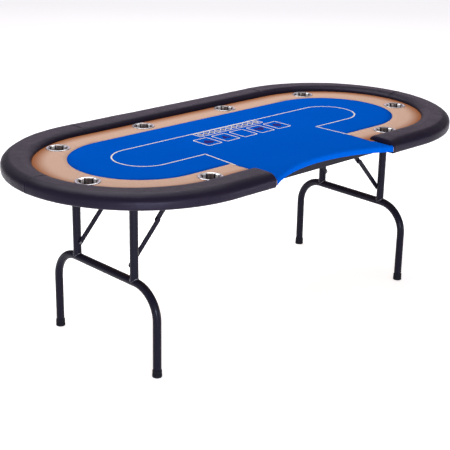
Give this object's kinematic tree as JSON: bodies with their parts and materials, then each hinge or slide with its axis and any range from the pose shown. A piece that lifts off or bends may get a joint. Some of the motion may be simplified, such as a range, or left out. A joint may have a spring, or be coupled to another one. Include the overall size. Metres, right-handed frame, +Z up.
{
  "type": "card game table",
  "caption": "Folding oval card table with a padded black rail, blue playing cloth, tan racetrack, steel cup holders, a concave dealer cut-out and two folding tube leg frames.",
  "frame": {"origin": "on the floor under the middle of the rail's outline", "axes": "+X along the table, -Y towards the dealer's cut-out, +Z up"},
  "size_m": [2.134, 1.058, 0.772],
  "materials": {
    "blue_cloth": "matte",
    "tan_cloth": "matte",
    "vinyl": "satin",
    "foam": "matte",
    "plywood": "matte",
    "black_wood": "satin",
    "stainless": "polished",
    "enamel": "satin",
    "zinc": "satin",
    "rubber": "matte"
  },
  "bodies": {
    "table_top": {"cup_holder_1": "stainless", "cup_holder_2": "stainless", "cup_holder_3": "stainless", "cup_holder_4": "stainless", "cup_holder_5": "stainless", "cup_holder_6": "stainless", "cup_holder_7": "stainless", "cup_holder_8": "stainless", "playing_cloth": "blue_cloth", "racetrack_cloth": "tan_cloth", "rail_cover": "vinyl", "rail_foam": "foam", "foam_pad": "foam", "rail_base": "plywood", "playing_board": "plywood", "front_apron": "black_wood", "rear_apron": "black_wood", "left_hinge_batten": "plywood", "left_front_hinge_strap": "enamel", "left_front_brace_bracket": "enamel", "left_front_brace_pin": "zinc", "left_rear_hinge_strap": "enamel", "left_rear_brace_bracket": "enamel", "left_rear_brace_pin": "zinc", "right_hinge_batten": "plywood", "right_front_hinge_strap": "enamel", "right_front_brace_bracket": "enamel", "right_front_brace_pin": "zinc", "right_rear_hinge_strap": "enamel", "right_rear_brace_bracket": "enamel", "right_rear_brace_pin": "zinc"},
    "left_leg": {"left_hinge_tube": "enamel", "left_wishbone": "enamel", "left_front_upright": "enamel", "left_front_foot_cap": "rubber", "left_front_leg_rivet": "zinc", "left_rear_upright": "enamel", "left_rear_foot_cap": "rubber", "left_rear_leg_rivet": "zinc"},
    "left_front_lower_link": {"left_front_lower_brace": "enamel"},
    "left_front_upper_link": {"left_front_upper_brace": "enamel", "left_front_knee_rivet": "zinc"},
    "left_rear_lower_link": {"left_rear_lower_brace": "enamel"},
    "left_rear_upper_link": {"left_rear_upper_brace": "enamel", "left_rear_knee_rivet": "zinc"},
    "right_leg": {"right_hinge_tube": "enamel", "right_wishbone": "enamel", "right_front_upright": "enamel", "right_front_foot_cap": "rubber", "right_front_leg_rivet": "zinc", "right_rear_upright": "enamel", "right_rear_foot_cap": "rubber", "right_rear_leg_rivet": "zinc"},
    "right_front_lower_link": {"right_front_lower_brace": "enamel"},
    "right_front_upper_link": {"right_front_upper_brace": "enamel", "right_front_knee_rivet": "zinc"},
    "right_rear_lower_link": {"right_rear_lower_brace": "enamel"},
    "right_rear_upper_link": {"right_rear_upper_brace": "enamel", "right_rear_knee_rivet": "zinc"}
  },
  "joints": [
    {"name": "left_leg_fold", "type": "hinge", "parent": "table_top", "child": "left_leg", "pos_m": [-0.7194, 0, 0.682], "axis": [0, -1, 0], "range_deg": [0, 90]},
    {"name": "left_front_lower_brace_turn", "type": "hinge", "parent": "left_leg", "child": "left_front_lower_link", "pos_m": [-0.7194, -0.1552, 0.405], "axis": [0, -1, 0], "range_deg": [0, 42.5]},
    {"name": "left_front_upper_brace_turn", "type": "hinge", "parent": "table_top", "child": "left_front_upper_link", "pos_m": [-0.46558, -0.1487, 0.682], "axis": [0, 1, 0], "range_deg": [0, 47.5]},
    {"name": "left_rear_lower_brace_turn", "type": "hinge", "parent": "left_leg", "child": "left_rear_lower_link", "pos_m": [-0.7194, 0.1552, 0.405], "axis": [0, -1, 0], "range_deg": [0, 42.5]},
    {"name": "left_rear_upper_brace_turn", "type": "hinge", "parent": "table_top", "child": "left_rear_upper_link", "pos_m": [-0.46558, 0.1487, 0.682], "axis": [0, 1, 0], "range_deg": [0, 47.5]},
    {"name": "right_leg_fold", "type": "hinge", "parent": "table_top", "child": "right_leg", "pos_m": [0.7194, 0, 0.682], "axis": [0, 1, 0], "range_deg": [0, 90]},
    {"name": "right_front_lower_brace_turn", "type": "hinge", "parent": "right_leg", "child": "right_front_lower_link", "pos_m": [0.7194, -0.1552, 0.405], "axis": [0, 1, 0], "range_deg": [0, 42.5]},
    {"name": "right_front_upper_brace_turn", "type": "hinge", "parent": "table_top", "child": "right_front_upper_link", "pos_m": [0.46558, -0.1487, 0.682], "axis": [0, -1, 0], "range_deg": [0, 47.5]},
    {"name": "right_rear_lower_brace_turn", "type": "hinge", "parent": "right_leg", "child": "right_rear_lower_link", "pos_m": [0.7194, 0.1552, 0.405], "axis": [0, 1, 0], "range_deg": [0, 42.5]},
    {"name": "right_rear_upper_brace_turn", "type": "hinge", "parent": "table_top", "child": "right_rear_upper_link", "pos_m": [0.46558, 0.1487, 0.682], "axis": [0, -1, 0], "range_deg": [0, 47.5]}
  ],
  "couplings": [
    {"joint": "left_front_lower_brace_turn", "follows": "left_leg_fold", "ratio": 0.47222},
    {"joint": "left_front_upper_brace_turn", "follows": "left_leg_fold", "ratio": 0.52778},
    {"joint": "left_rear_lower_brace_turn", "follows": "left_leg_fold", "ratio": 0.47222},
    {"joint": "left_rear_upper_brace_turn", "follows": "left_leg_fold", "ratio": 0.52778},
    {"joint": "right_front_lower_brace_turn", "follows": "right_leg_fold", "ratio": 0.47222},
    {"joint": "right_front_upper_brace_turn", "follows": "right_leg_fold", "ratio": 0.52778},
    {"joint": "right_rear_lower_brace_turn", "follows": "right_leg_fold", "ratio": 0.47222},
    {"joint": "right_rear_upper_brace_turn", "follows": "right_leg_fold", "ratio": 0.52778}
  ]
}
